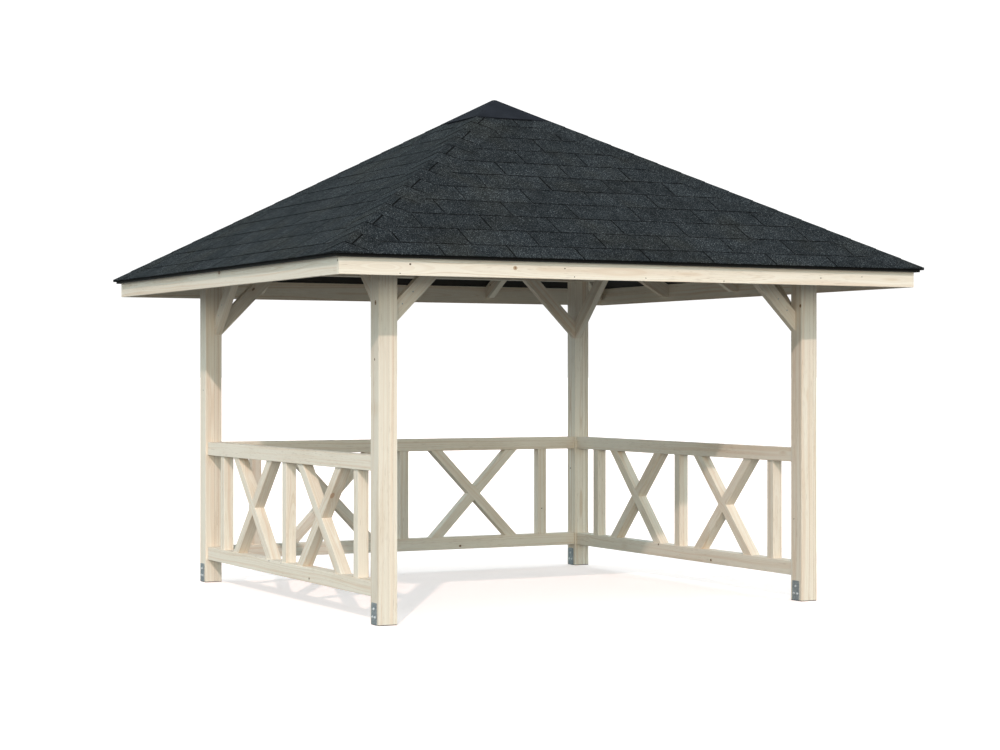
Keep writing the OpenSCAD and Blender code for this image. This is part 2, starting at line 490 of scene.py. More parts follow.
@dataclass(frozen=True)
class Plan:
    """The main sizes of the gazebo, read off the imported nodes.

    Distances are from the middle line and heights are from the ground.
    """

    half: float
    inner: float
    post_foot: float
    plate_top: float
    fascia_foot: float
    fascia_out: float
    fascia_in: float
    deck_edge: float
    cover_edge: float
    cap_edge: float
    slope: float
    apex: float
    board: float
    cover: float = 10.0 * MM

    @classmethod
    def read(cls) -> "Plan":
        """Reads the nodes.

        Returns:
            The sizes.
        """
        post_lo, post_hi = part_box("front_left_post")
        fascia_lo, fascia_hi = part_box("front_fascia")
        deck_lo, deck_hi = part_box("front_deck")
        cover_lo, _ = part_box("front_shingles")
        slope = (deck_hi.z - cover_lo.z) / -cover_lo.y
        apex = deck_lo.z - deck_lo.y * slope
        return cls(
            half=-post_lo.x,
            inner=-post_hi.x,
            post_foot=post_lo.z,
            plate_top=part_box("front_wall_plate")[1].z,
            fascia_foot=fascia_lo.z,
            fascia_out=-fascia_lo.y,
            fascia_in=-fascia_hi.y,
            deck_edge=-deck_lo.y,
            cover_edge=-cover_lo.y,
            cap_edge=-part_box("apex_cap")[0].x,
            slope=slope,
            apex=apex,
            board=(deck_hi.z - apex) * math.cos(math.atan(slope)),
        )

    @property
    def pitch(self) -> float:
        """The roof's pitch in radians."""
        return math.atan(self.slope)

    @property
    def middle(self) -> float:
        """The distance of the posts' middles."""
        return (self.half + self.inner) / 2.0

    @property
    def uphill(self) -> Vector:
        """The direction straight up the front roof face."""
        return Vector((0.0, math.cos(self.pitch), math.sin(self.pitch)))

    @property
    def outward(self) -> Vector:
        """The direction square to the front roof face."""
        return Vector((0.0, -math.sin(self.pitch), math.cos(self.pitch)))

    def under(self, distance: float) -> float:
        """Height of the roof boards' underside at a distance from the middle."""
        return self.apex - self.slope * distance


@dataclass(frozen=True)
class RoofFace:
    """Places on one roof face: across it, up it from a level edge, and out of it."""

    plan: Plan
    side: Side
    edge: float

    @property
    def across(self) -> Vector:
        """The level direction on the face."""
        return self.side.turn @ X

    @property
    def outward(self) -> Vector:
        """The direction square to the face."""
        return self.side.turn @ self.plan.outward

    @property
    def length(self) -> float:
        """The distance up the face from its edge to the top."""
        return self.edge / math.cos(self.plan.pitch)

    @property
    def surface(self) -> Plane:
        """The plane of the roof boards' underside, facing out."""
        return self.at(0.0, 0.0, 0.0), self.outward

    def at(self, across: float, up: float, out: float) -> Vector:
        """Finds a place on the face.

        Args:
            across: distance from the middle line.
            up: distance up the slope from the edge.
            out: height above the roof boards' underside, square to it.

        Returns:
            The place.
        """
        start = Vector((across, -self.edge, self.plan.under(self.edge)))
        return self.side.turn @ (start + self.plan.uphill * up + self.plan.outward * out)

    def strip(self, low: float, high: float, out: float = 0.0, spare: float = SPARE) -> list[Vector]:
        """The corners of a level strip of the face, between two heights up it and past both hips."""
        reach = self.edge + spare
        return [self.at(a, b, out) for a, b in ((-reach, low), (reach, low), (reach, high), (-reach, high))]

    def trim(self) -> list[Plane]:
        """The upright planes that end the face at its hips and its edge, facing away from it."""
        hips = [(ORIGIN, (self.side.turn @ Vector((sign, 1.0, 0.0))).normalized()) for sign in (-1.0, 1.0)]
        return [*hips, (self.at(0.0, 0.0, 0.0), self.side.turn @ -Y)]


# --------------------------------------------------------------------------- building pieces


@dataclass(frozen=True)
class Cutting:
    """How a board is dressed after it is sawn.

    Where top is set, the faces that don't face that way take the next finish.
    """

    arris: float = 2.6 * MM
    cuts: Sequence[Plane] = ()
    glue: Sequence[Plane] = ()
    glue_line: float = 1.1 * MM
    finish: int = 0
    top: Vector | None = None
    tone: float = 0.045


def bevel(
    mesh: bmesh.types.BMesh,
    geom: Sequence[object],
    size: float,
    segments: int,
    affect: str = "EDGES",
    clamp: bool = False,
) -> None:
    """Rounds edges or corners of a mesh.

    Args:
        mesh: the mesh.
        geom: its edges or corners to round.
        size: how far from them the rounding starts.
        segments: how many faces it has.
        affect: EDGES or VERTICES.
        clamp: whether a rounding stops where it meets another.
    """
    bmesh.ops.bevel(
        mesh,
        geom=geom,
        offset=size,
        offset_type="OFFSET",
        segments=segments,
        profile=0.5,
        affect=affect,
        material=-1,
        clamp_overlap=clamp,
    )


def sweep_out(mesh: bmesh.types.BMesh, swept: dict[str, list], way: Vector) -> None:
    """Moves the far side of an extrusion, and points its faces out.

    Args:
        mesh: the mesh.
        swept: what the extrusion gave.
        way: the way and distance.
    """
    far = [item for item in swept["geom"] if isinstance(item, bmesh.types.BMVert)]
    bmesh.ops.translate(mesh, verts=far, vec=way)
    bmesh.ops.recalc_face_normals(mesh, faces=mesh.faces)


class Workpiece:
    """One visible piece: boards or strips sawn to shape and joined into a single mesh."""

    def __init__(self, name: str) -> None:
        """Starts an empty piece.

        Args:
            name: the piece's name, which also seeds its grain.
        """
        self.name = name
        self.chance = random.Random(name)
        self.mesh = bmesh.new()
        self.grain = self.mesh.verts.layers.float_vector.new(GRAIN)
        self.tone = self.mesh.verts.layers.float.new(TONE)

    def add_board(
        self, outline: Sequence[Vector], sweep: Vector, along: Vector, cutting: Cutting = Cutting()
    ) -> None:
        """Saws a board from an outline and adds it.

        Args:
            outline: the corners of one face, in order.
            sweep: the way and distance from that face to the opposite one.
            along: the direction of the grain, which is also the direction of the eased edges.
            cutting: how it is dressed.
        """
        board = bmesh.new()
        face = board.faces.new([board.verts.new(corner) for corner in outline])
        sweep_out(board, bmesh.ops.extrude_face_region(board, geom=[face]), sweep)
        way = along.normalized()
        self._ease(board, way, cutting.arris, cutting.glue, on_plane=False)
        self._ease(board, way, cutting.glue_line, cutting.glue, on_plane=True)
        for cut in cutting.cuts:
            self._saw(board, cut)
        if not board.faces:
            board.free()
            return
        depth = sweep.normalized()
        if abs(depth.dot(way)) > 0.7:
            depth = way.orthogonal().normalized()
        self.absorb(board, outline[0], way, depth, cutting)

    def add_bar(
        self,
        lo: Vector,
        hi: Vector,
        along: Vector,
        cutting: Cutting = Cutting(),
        turn: Matrix = Matrix.Identity(4),
    ) -> None:
        """Adds a square-cut bar that fills a box.

        Args:
            lo: the box's lowest corner.
            hi: its highest corner.
            along: the axis of the bar's length.
            cutting: how it is dressed.
            turn: a turn from the box to the bar's place.
        """
        depth = Y if abs(along.y) < 0.5 else X
        half = (hi - lo) / 2.0
        reach, spread, thick = (axis * abs(half.dot(axis)) for axis in (along, depth.cross(along), depth))
        near = (lo + hi) / 2.0 - thick
        outline = [near - reach - spread, near + reach - spread, near + reach + spread, near - reach + spread]
        self.add_board([turn @ corner for corner in outline], turn @ (thick * 2.0), turn @ along, cutting)

    @staticmethod
    def _ease(board: bmesh.types.BMesh, way: Vector, size: float, glue: Sequence[Plane], on_plane: bool) -> None:
        """Rounds the edges that run with the grain.

        Args:
            board: the board.
            way: the direction of the grain.
            size: the size of the rounding.
            glue: the planes in which the board is glued to its neighbours.
            on_plane: whether to ease the edges in those planes, or the others.
        """
        if size <= 0.0:
            return
        edges = []
        for edge in board.edges:
            ends = [vert.co for vert in edge.verts]
            run = ends[1] - ends[0]
            glued = any(all(abs((end - point).dot(normal)) < 0.3 * MM for end in ends) for point, normal in glue)
            if run.length > 12.0 * MM and abs(run.normalized().dot(way)) > 0.9995 and glued == on_plane:
                edges.append(edge)
        if edges:
            bevel(board, edges, size, 2, clamp=True)

    @staticmethod
    def _saw(board: bmesh.types.BMesh, cut: Plane) -> None:
        """Saws off what lies beyond a plane and closes the cut.

        Args:
            board: the board.
            cut: a point in the plane and its direction, towards the waste.
        """
        if not board.verts:
            return
        found = bmesh.ops.bisect_plane(
            board,
            geom=board.verts[:] + board.edges[:] + board.faces[:],
            dist=1e-6,
            plane_co=cut[0],
            plane_no=cut[1],
            clear_outer=True,
        )
        rim = [item for item in found["geom_cut"] if isinstance(item, bmesh.types.BMEdge)]
        if rim and board.faces:
            bmesh.ops.holes_fill(board, edges=rim, sides=0)

    def _pour(self, part: bmesh.types.BMesh) -> list[bmesh.types.BMVert]:
        """Joins a part's mesh to the piece's, and frees it.

        Args:
            part: the part.

        Returns:
            The piece's new corners.
        """
        first = len(self.mesh.verts)
        carrier = bpy.data.meshes.new(self.name)
        part.to_mesh(carrier)
        part.free()
        self.mesh.from_mesh(carrier)
        bpy.data.meshes.remove(carrier)
        self.mesh.verts.ensure_lookup_table()
        return self.mesh.verts[first:]

    def absorb(self, board: bmesh.types.BMesh, start: Vector, way: Vector, depth: Vector, cutting: Cutting) -> None:
        """Adds a finished board to the piece, with its own grain and tone, and frees it.

        Args:
            board: the board.
            start: a corner of it.
            way: the direction of the grain.
            depth: a direction square to the grain.
            cutting: how it is dressed.
        """
        board.normal_update()
        for face in board.faces:
            hidden = cutting.top is not None and face.normal.dot(cutting.top) < 0.5
            face.material_index = cutting.finish + int(hidden)
        turn, reach = self.chance.uniform(0.0, math.tau), self.chance.uniform(0.035, 0.12)
        shift = Vector((self.chance.uniform(0.0, 40.0), reach * math.cos(turn), reach * math.sin(turn)))
        tone = self.chance.uniform(-cutting.tone, cutting.tone)
        side = depth.cross(way)
        for vert in self._pour(board):
            away = vert.co - start
            vert[self.grain] = shift + Vector((away.dot(way), away.dot(side), away.dot(depth)))
            vert[self.tone] = tone

    def add_disc(
        self,
        centre: Vector,
        facing: Vector,
        along: Vector,
        sizes: Triple,
        finish: int = 1,
        sides: int = 12,
        taper: float = 0.8,
    ) -> None:
        """Adds a small low disc, such as a screw's head, a washer or a knot's face.

        Args:
            centre: the middle of its foot.
            facing: the way it stands out.
            along: the direction of its long axis.
            sizes: half its length, half its width and its height.
            finish: the number of its material on the piece.
            sides: how many sides it has.
            taper: the size of its top against its foot.
        """
        disc = bmesh.new()
        bmesh.ops.create_cone(disc, cap_ends=True, segments=sides, radius1=1.0, radius2=taper, depth=1.0)
        bmesh.ops.translate(disc, verts=disc.verts, vec=Z / 2.0)
        bmesh.ops.scale(disc, verts=disc.verts, vec=sizes)
        out = facing.normalized()
        long = (along - out * along.dot(out)).normalized()
        wide = out.cross(long)
        place = Matrix((long, wide, out)).transposed().to_4x4()
        place.translation = centre
        bmesh.ops.transform(disc, matrix=place, verts=disc.verts)
        for face in disc.faces:
            face.material_index = finish
        for vert in self._pour(disc):
            away = vert.co - centre
            vert[self.grain] = Vector((away.dot(long), away.dot(wide), away.dot(out)))
            vert[self.tone] = 0.0

    def add_knot(
        self, centre: Vector, facing: Vector, along: Vector, size: float, finish: int = 1, oval: float = 1.2
    ) -> None:
        """Sets an oval knot in a face, its long axis with the grain."""
        self.add_disc(centre, facing, along, (size * oval, size, 0.4 * MM), finish)

    def deliver(self, materials: Iterable[bpy.types.Material], slot: Slot, *nodes: str) -> None:
        """Turns the piece into an object that rides on the root body.

        Args:
            materials: its materials, in order.
            slot: the record's slot of its main material; not used.
            nodes: the frame's nodes that it stands for.
        """
        carrier = bpy.data.meshes.new(self.name)
        self.mesh.to_mesh(carrier)
        self.mesh.free()
        for material in materials:
            carrier.materials.append(material)
        piece = put(self.name, carrier)
        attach(piece, "root")
        if nodes:
            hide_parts(*nodes)
        LOG.info("%s: %d faces, for %s", self.name, len(carrier.polygons), ", ".join(nodes) or "no node")


def put(name: str, data: bpy.types.ID) -> bpy.types.Object:
    """Puts something into the scene, at the origin and unturned.

    Args:
        name: the new object's name.
        data: its mesh, light or camera.

    Returns:
        The object.
    """
    made = bpy.data.objects.new(name, data)
    bpy.context.scene.collection.objects.link(made)
    return made


@dataclass
class Part:
    """A sub-assembly, with the finishes that it is dressed in and the sizes that it keeps to."""

    palette: Palette
    plan: Plan


# --------------------------------------------------------------------------- the gazebo's parts


@dataclass
class Posts(Part):
    """Four posts, each glued up from three lamellas, on the shoes' bases."""

    arris: float = 4.0 * MM
    seams: tuple[float, ...] = (0.55, 0.77)
    glue_line: float = 1.4 * MM
    seam: float = 4.4 * MM
    sunk: float = 0.4 * MM
    knots: tuple[tuple[Corner, float, float, float], ...] = (
        (Corner.FRONT_LEFT, 0.045, 1.821, 12.0 * MM),
        (Corner.FRONT_LEFT, 0.057, 1.501, 6.5 * MM),
        (Corner.FRONT_RIGHT, 0.014, 1.845, 10.0 * MM),
        (Corner.FRONT_RIGHT, 0.083, 0.511, 3.5 * MM),
        (Corner.BACK_LEFT, 0.050, 1.310, 4.0 * MM),
        (Corner.BACK_RIGHT, 0.070, 0.720, 5.0 * MM),
    )

    def build(self) -> None:
        """Builds the four posts."""
        for corner in Corner:
            self._post(corner)

    def _post(self, corner: Corner) -> None:
        """Builds one post, with glued seams and a few knots in its left face.

        Args:
            corner: where it stands.
        """
        node = f"{corner.label}_post"
        lo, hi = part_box(node)
        post = Workpiece(f"{corner.label}_glued_post")
        seams = [lo.x + share * (hi.x - lo.x) for share in self.seams]
        planed = Cutting(arris=self.arris, glue=[(X * x, X) for x in seams], glue_line=self.glue_line)
        for left, right in zip([lo.x, *seams], [*seams, hi.x]):
            post.add_bar(Vector((left, lo.y, lo.z)), Vector((right, hi.y, hi.z)), Z, planed)
        margin = Vector((-self.seam / 2.0, self.sunk, self.sunk))
        for x in seams:
            foot, head = Vector((x, lo.y, lo.z)), Vector((x, hi.y, hi.z))
            post.add_bar(foot + margin, head - margin, Z, Cutting(arris=0.0, finish=2))
        for place, far, height, size in self.knots:
            if place is corner:
                post.add_knot(Vector((lo.x, lo.y + far, height)), -X, Z, size)
        post.deliver((self.palette.timber, self.palette.knot, self.palette.glue), Slot.TIMBER, node)


@dataclass
class PostShoes(Part):
    """Galvanised shoes: a strap bent under each post and up two of its faces, held by hexagon screws."""

    width: float = 70.0 * MM
    bend: float = 7.0 * MM
    corner_radius: float = 8.0 * MM
    plate_inset: float = 2.0 * MM
    plate_gap: float = 0.3 * MM
    screws: tuple[tuple[float, float], ...] = ((-18.0 * MM, 46.0 * MM), (18.0 * MM, 46.0 * MM), (0.0, 92.0 * MM))
    washer: Triple = (8.5 * MM, 8.5 * MM, 1.6 * MM)
    head: Triple = (6.0 * MM, 6.0 * MM, 4.4 * MM)

    def build(self) -> None:
        """Builds the four shoes as one piece."""
        lo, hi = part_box("post_shoes")
        thick = self.plan.post_foot - lo.z
        shoes = Workpiece("bent_post_shoes")
        for corner in Corner:
            centre = Vector((*corner.value, 0.0)) * self.plan.middle
            self._strap(shoes, centre, thick, hi.z)
            # a near-black plate under the post: painted shade at its foot
            self._foot_plate(shoes, centre, thick)
            self._screws(shoes, centre, thick)
        shoes.deliver((self.palette.zinc, self.palette.screws, self.palette.foot_plate), Slot.ZINC, "post_shoes")

    def _strap(self, shoes: Workpiece, centre: Vector, thick: float, top: float) -> None:
        """Bends one strap.

        Args:
            shoes: the piece that it joins.
            centre: the middle of the post's foot.
            thick: the steel's thickness.
            top: the height of the strap's ends.
        """
        strap = bmesh.new()
        reach = self.plan.half - self.plan.middle + thick
        spots = ((-reach, top), (-reach, 0.0), (reach, 0.0), (reach, top))
        path = [strap.verts.new(centre + Vector((x, -self.width / 2.0, z))) for x, z in spots]
        for one, two in zip(path, path[1:]):
            strap.edges.new((one, two))
        bevel(strap, path[1:3], self.bend, 4, "VERTICES")
        sweep_out(strap, bmesh.ops.extrude_edge_only(strap, edges=strap.edges[:]), Y * self.width)
        foot = min(strap.faces, key=lambda face: face.calc_center_median().z)
        if foot.normal.z > 0.0:
            bmesh.ops.reverse_faces(strap, faces=strap.faces)
        bmesh.ops.solidify(strap, geom=strap.faces[:], thickness=thick)
        tips = []
        for edge in strap.edges:
            run = edge.verts[1].co - edge.verts[0].co
            if abs(run.normalized().x) > 0.99 and min(vert.co.z for vert in edge.verts) > top - 0.1 * MM:
                tips.append(edge)
        bevel(strap, tips, self.corner_radius, 4)
        bmesh.ops.recalc_face_normals(strap, faces=strap.faces)
        shoes.absorb(strap, centre, Z, X, Cutting(tone=0.0))

    def _foot_plate(self, shoes: Workpiece, centre: Vector, thick: float) -> None:
        """Lays a near-black plate under one post, level with the strap: painted shade at the post's foot.

        Args:
            shoes: the piece that it joins.
            centre: the middle of the post's foot.
            thick: the steel's thickness.
        """
        half = self.plan.half - self.plan.middle - self.plate_inset
        low = centre + Vector((-half, -half, self.plate_gap))
        high = centre + Vector((half, half, thick - self.plate_gap))
        shoes.add_bar(low, high, X, Cutting(arris=0.8 * MM, finish=2, tone=0.0))

    def _screws(self, shoes: Workpiece, centre: Vector, thick: float) -> None:
        """Drives the screws of one shoe, each with a round washer and a hexagon head.

        Args:
            shoes: the piece that they join.
            centre: the middle of the post's foot.
            thick: the steel's thickness.
        """
        for out in (-X, X):
            face = centre + out * (self.plan.half - self.plan.middle + thick)
            for aside, height in self.screws:
                seat = face + Y * aside + Z * height
                shoes.add_disc(seat, out, Z, self.washer, sides=16, taper=0.96)
                shoes.add_disc(seat + out * self.washer[2], out, Z, self.head, sides=6, taper=0.94)


@dataclass
class WallPlates(Part):
    """The beams along the posts' tops. The front and back ones run through at the corners."""

    arris: float = 3.5 * MM

    def build(self) -> None:
        """Builds the four plates."""
        for side in Side:
            node = f"{side.label}_wall_plate"
            plate = Workpiece(f"{side.label}_plate_beam")
            plate.add_bar(*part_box(node), X if side.runs_through else Y, Cutting(arris=self.arris))
            plate.deliver((self.palette.timber,), Slot.TIMBER, node)


@dataclass
class Braces(Part):
    """Pairs of 45-degree braces from the posts up to the plates, each fixed with countersunk screws."""

    width: float = 88.0 * MM
    screws: tuple[tuple[float, float], ...] = ((62.0 * MM, 130.0 * MM), (128.0 * MM, 200.0 * MM))
    head: Triple = (4.5 * MM, 4.5 * MM, 0.5 * MM)

    def build(self) -> None:
        """Builds the braces of all four sides."""
        lo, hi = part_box("front_braces")
        for side in Side:
            pair = Workpiece(f"{side.label}_corner_braces")
            for sign in (-1.0, 1.0):
                self._brace(pair, side, sign, lo, hi)
            pair.deliver((self.palette.timber, self.palette.zinc), Slot.TIMBER, f"{side.label}_braces")

    def _brace(self, pair: Workpiece, side: Side, sign: float, lo: Vector, hi: Vector) -> None:
        """Saws one brace.

        Args:
            pair: the piece that it joins.
            side: the side of the gazebo.
            sign: -1 for the brace on the left, seen from outside, or 1.
            lo: the lowest corner of the front pair.
            hi: its highest corner.
        """
        turn = side.turn
        cut = self.width * math.sqrt(2.0)
        reach = hi.z - lo.z
        spots = ((hi.x, lo.z), (hi.x - reach, hi.z), (hi.x - reach + cut, hi.z), (hi.x, lo.z + cut))
        outline = [turn @ Vector((sign * x, lo.y, z)) for x, z in spots]
        pair.add_board(outline, turn @ (Y * (hi.y - lo.y)), turn @ (Z - X * sign))
        for aside, height in self.screws:
            seat = Vector((sign * (hi.x - aside), lo.y, lo.z + height))
            pair.add_disc(turn @ seat, turn @ -Y, Z, self.head, sides=10)


@dataclass
class Railing(Part):
    """The railing of one side: two rails, three balusters and two crosses of half-lapped bars.

    A knot is its side, its part, its place along and up, and its size, below nothing on the inner face.
    """

    side: Side
    angle: float = 46.0
    arris: float = 3.0 * MM
    knots: tuple[tuple[Side, str, float, float, float], ...] = (
        (Side.LEFT, "bottom_rail", -0.233, 0.235, 4.5 * MM),
        (Side.LEFT, "bottom_rail", 0.436, 0.179, 7.5 * MM),
        (Side.LEFT, "bottom_rail", -0.027, 0.237, 3.5 * MM),
        (Side.BACK, "bottom_rail", -0.440, 0.178, -8.5 * MM),
        (Side.BACK, "balusters", -1.116, 0.430, -4.0 * MM),
        (Side.RIGHT, "bottom_rail", 0.225, 0.236, -7.0 * MM),
        (Side.RIGHT, "bottom_rail", -0.442, 0.178, -9.0 * MM),
        (Side.RIGHT, "top_rail", 0.310, 0.905, 5.0 * MM),
        (Side.BACK, "top_rail", 0.620, 0.930, 4.5 * MM),
    )

    def build(self) -> None:
        """Builds all the railing's pieces."""
        rail_lo, rail_hi = self._front_box("top_rail")
        foot_lo, foot_hi = self._front_box("bottom_rail")
        lo, hi = self._front_box("balusters")
        width = hi.y - lo.y
        span = hi.x - lo.x - width
        self._bars("top_rail", "hand_rail", X, [(rail_lo, rail_hi)])
        self._bars("bottom_rail", "foot_rail", X, [(foot_lo, foot_hi)])
        first = Vector((lo.x + width, hi.y, hi.z))
        uprights = [(lo + X * (span * share), first + X * (span * share)) for share in (0.0, 0.5, 1.0)]
        self._bars("balusters", "upright_bars", Z, uprights)
        self._crossbars("crossbars_rising", 1.0)
        self._crossbars("crossbars_falling", -1.0)

    def _front_box(self, part: str) -> tuple[Vector, Vector]:
        """The lowest and highest corners of a node of this railing, turned to the front side."""
        ends = [self.side.turn.inverted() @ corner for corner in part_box(f"{self.side.label}_{part}")]
        return Vector(map(min, *ends)), Vector(map(max, *ends))

    def _bars(self, part: str, name: str, along: Vector, boxes: Iterable[tuple[Vector, Vector]]) -> None:
        """Builds one part of square-cut bars, with its knots.

        Args:
            part: the end of the node's name.
            name: the end of the piece's name.
            along: the axis of the bars' length on the front side.
            boxes: the lowest and highest corners of each bar there.
        """
        turn = self.side.turn
        piece = Workpiece(f"{self.side.label}_{name}")
        for lo, hi in boxes:
            piece.add_bar(lo, hi, along, Cutting(arris=self.arris), turn)
        lo, hi = self._front_box(part)
        for side, where, across, height, size in self.knots:
            if side is self.side and where == part:
                depth, facing = (lo.y, -Y) if size > 0.0 else (hi.y, Y)
                piece.add_knot(turn @ Vector((across, depth, height)), turn @ facing, turn @ X, abs(size))
        piece.deliver((self.palette.timber, self.palette.knot), Slot.TIMBER, f"{self.side.label}_{part}")

    def _crossbars(self, part: str, way: float) -> None:
        """Builds the two bars that lean one way, one in each cross.

        Args:
            part: the end of the node's name.
            way: 1 for bars that rise towards the right, seen from outside, or -1.
        """
        lo, hi = self._front_box(part)
        upright_lo, upright_hi = self._front_box("balusters")
        width = hi.y - lo.y
        middle = (upright_hi.x - (upright_hi.y - upright_lo.y) / 2.0) / 2.0
        lean = math.radians(self.angle)
        axis = Vector((way * math.cos(lean), 0.0, math.sin(lean)))
        other = Vector((-axis.x, 0.0, axis.z))
        skew = width / math.sin(2.0 * lean)
        notch = skew / 2.0
        half = (hi.z - lo.z) / 2.0 / math.sin(lean) + width
        outer, inner = (0.0, 1.0) if way > 0.0 else (1.0, 0.0)
        lap = ((-notch, outer), (-notch, 0.5), (notch, 0.5), (notch, outer))
        profile = ((-half, outer), *lap, (half, outer), (half, inner), (-half, inner))
        turn = self.side.turn
        cutting = Cutting(arris=self.arris, cuts=((Z * lo.z, -Z), (Z * hi.z, Z)))
        bars = Workpiece(f"{self.side.label}_{'rising' if way > 0.0 else 'falling'}_bars")
        for x in (-middle, middle):
            centre = Vector((x, lo.y, (lo.z + hi.z) / 2.0)) - other * (skew / 2.0)
            outline = [turn @ (centre + axis * a + Y * (width * b)) for a, b in profile]
            bars.add_board(outline, turn @ (other * skew), turn @ axis, cutting)
        bars.deliver((self.palette.knotty,), Slot.TIMBER, f"{self.side.label}_{part}")


@dataclass
class RoofFrame(Part):
    """The rafters, notched over the plates, and the block that they meet."""

    width: float = 45.0 * MM
    depth: float = 100.0 * MM
    hip_depth: float = 125.0 * MM
    tail_rise: float = 40.0 * MM
    arris: float = 2.0 * MM
    chamfer: float = 7.0 * MM
    block_sides: int = 8

    def build(self) -> None:
        """Builds the rafters and the block."""
        self._block()
        commons = Workpiece("middle_rafters")
        jacks = Workpiece("short_rafters")
        hips = Workpiece("corner_rafters")
        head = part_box("king_block")[1].x
        jack = self._jack_distance()
        back = self.width / math.sqrt(2.0)
        for side in Side:
            self._rafter(commons, side, 0.0, head, [])
            for sign in (-1.0, 1.0):
                hip = (side.turn @ (Y * -back), (side.turn @ Vector((sign, 1.0, 0.0))).normalized())
                self._rafter(jacks, side, sign * jack, jack - self.width, [hip])
            self._hip(hips, side, head)
        for piece, node in ((commons, "common_rafters"), (jacks, "jack_rafters"), (hips, "hip_rafters")):
            piece.deliver((self.palette.roof_timber,), Slot.ROOF_TIMBER, node)

    def _jack_distance(self) -> float:
        """The distance of the short rafters from the middle line, read off their mesh."""
        near = [vert.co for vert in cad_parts["jack_rafters"].data.vertices if vert.co.y < -self.plan.half]
        return max(abs(co.x) for co in near) - self.width / 2.0

    def _profile(self, start: float, far: float, post: float, fall: float, drop: float) -> list[tuple[float, float]]:
        """The tail, the notch over the plate and the head of a rafter.

        Args:
            start: the distance of its head from the middle.
            far: the distance of its tail's end.
            post: the distance of the posts' outside.
            fall: how steeply it falls.
            drop: its depth, measured straight down.

        Returns:
            The distance and height of each corner under its top.
        """
        plan = self.plan
        tail = plan.fascia_foot + self.tail_rise
        foot = plan.apex - post * fall - drop
        return [
            (far, tail),
            ((plan.apex - drop - tail) / fall, tail),
            (post, foot),
            (post, plan.plate_top),
            (post - (plan.plate_top - foot) / fall, plan.plate_top),
            (start, plan.apex - start * fall - drop),
        ]

    def _rafter(self, piece: Workpiece, side: Side, x: float, start: float, cuts: list[Plane]) -> None:
        """Saws one rafter of a side.

        Args:
            piece: the piece that it joins.
            side: the side of the roof.
            x: its distance from the middle line.
            start: the distance of its head from the middle.
            cuts: further cuts.
        """
        plan = self.plan
        far = plan.fascia_in
        spots = [(start, plan.under(start)), (far, plan.under(far))]
        spots += self._profile(start, far, plan.half, plan.slope, self.depth / math.cos(plan.pitch))
        outline = [side.turn @ Vector((x - self.width / 2.0, -r, z)) for r, z in spots]
        cutting = Cutting(arris=self.arris, cuts=cuts)
        piece.add_board(outline, side.turn @ (X * self.width), side.turn @ -plan.uphill, cutting)

    def _hip(self, piece: Workpiece, side: Side, start: float) -> None:
        """Saws the rafter under the hip on a side's left, seen from outside, backed to both faces.

        Args:
            piece: the piece that it joins.
            side: the side of the roof.
            start: the distance of its head from the middle.
        """
        plan = self.plan
        turn = side.turn
        fall = plan.slope / math.sqrt(2.0)
        far = plan.fascia_in * math.sqrt(2.0)
        spots = [(start, plan.apex), (far, plan.apex)]
        spots += self._profile(start, far, plan.half * math.sqrt(2.0), fall, self.hip_depth)
        away = Vector((-1.0, -1.0, 0.0)).normalized()
        aside = Vector((1.0, -1.0, 0.0)).normalized()
        outline = [turn @ (away * r + Z * z - aside * (self.width / 2.0)) for r, z in spots]
        rise = plan.outward
        cuts = [(Z * plan.apex, turn @ rise), (Z * plan.apex, turn @ Vector((rise.y, 0.0, rise.z)))]
        cuts += [(turn @ (way * plan.fascia_in), turn @ way) for way in (-Y, -X)]
        cutting = Cutting(arris=self.arris, cuts=cuts)
        piece.add_board(outline, turn @ (aside * self.width), turn @ (away - Z * fall), cutting)

    def _block(self) -> None:
        """Builds the eight-sided block under the top, its foot chamfered."""
        lo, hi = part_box("king_block")
        step = math.tau / self.block_sides
        radius = hi.x / math.cos(step / 2.0)
        turns = [step * (number + 0.5) for number in range(self.block_sides)]
        ring = [Vector((radius * math.cos(turn), radius * math.sin(turn), lo.z)) for turn in turns]
        block = Workpiece("king_post_block")
        block.add_board(ring, Z * (hi.z - lo.z), Z, Cutting(arris=self.arris))
        low = [face for face in block.mesh.faces if face.normal.z < -0.9]
        bevel(block.mesh, list({edge for face in low for edge in face.edges}), self.chamfer, 1)
        block.deliver((self.palette.roof_timber,), Slot.ROOF_TIMBER, "king_block")


